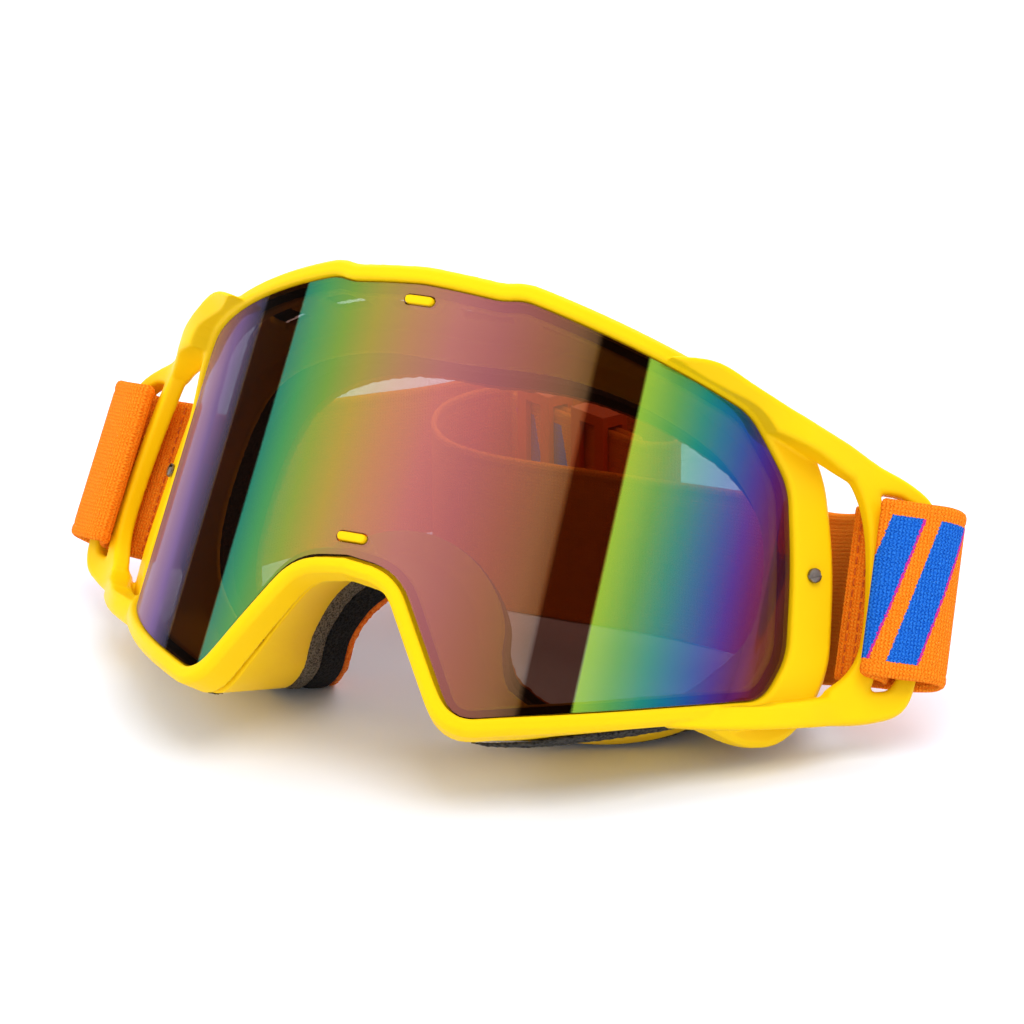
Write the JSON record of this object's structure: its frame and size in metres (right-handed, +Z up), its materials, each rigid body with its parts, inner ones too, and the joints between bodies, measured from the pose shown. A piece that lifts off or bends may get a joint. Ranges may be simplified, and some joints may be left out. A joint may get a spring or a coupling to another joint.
{
  "type": "motocross goggles",
  "caption": "Motocross goggles with a wide mirrored cylindrical lens, a satin frame with open side outriggers, layered face foam and an elastic strap folded behind.",
  "frame": {"origin": "under the middle of the whole object, on the table it lies on", "axes": "+X to the wearer's left along the width of the goggles, +Y from the lens towards the face and the strap, +Z up"},
  "size_m": [0.2186, 0.1718, 0.1009],
  "materials": {
    "frame": "satin moulded",
    "lens_mirror": "mirror coated",
    "seal": "dark foam strip",
    "vent_foam": "open cell foam",
    "foam_grey": "open cell foam",
    "foam_black": "fine foam",
    "fleece": "brushed fleece",
    "steel": "slotted screw",
    "clip": "dark sheet steel",
    "webbing": "knitted elastic",
    "slider": "moulded"
  },
  "bodies": {
    "frame": {"outer_frame": "frame", "face_frame": "frame", "lens_seal": "seal", "top_vent_foam": "vent_foam", "bottom_vent_foam_left": "vent_foam", "bottom_vent_foam_right": "vent_foam", "side_vent_foam_left": "vent_foam", "side_vent_foam_right": "vent_foam", "face_foam_grey": "foam_grey", "face_foam_black": "foam_black", "face_fleece": "fleece", "side_screw_left": "steel", "side_screw_right": "steel", "screw_clip_left": "clip", "screw_clip_right": "clip", "strap_webbing_left": "webbing", "strap_webbing_right": "webbing"},
    "lens": {"lens": "lens_mirror"},
    "slider_inner": {"strap_slider_inner": "slider"},
    "slider_outer": {"strap_slider_outer": "slider"}
  },
  "joints": [
    {"name": "lens_pull", "type": "slide", "parent": "frame", "child": "lens", "axis": [0, -0.809, 0.5878], "range_m": [0, 0.025]},
    {"name": "slider_inner_slide", "type": "slide", "parent": "frame", "child": "slider_inner", "axis": [0.9023, -0.4311, 0], "range_m": [-0.005, 0.004]},
    {"name": "slider_outer_slide", "type": "slide", "parent": "frame", "child": "slider_outer", "axis": [0.9023, -0.4311, 0], "range_m": [-0.004, 0.003]}
  ]
}
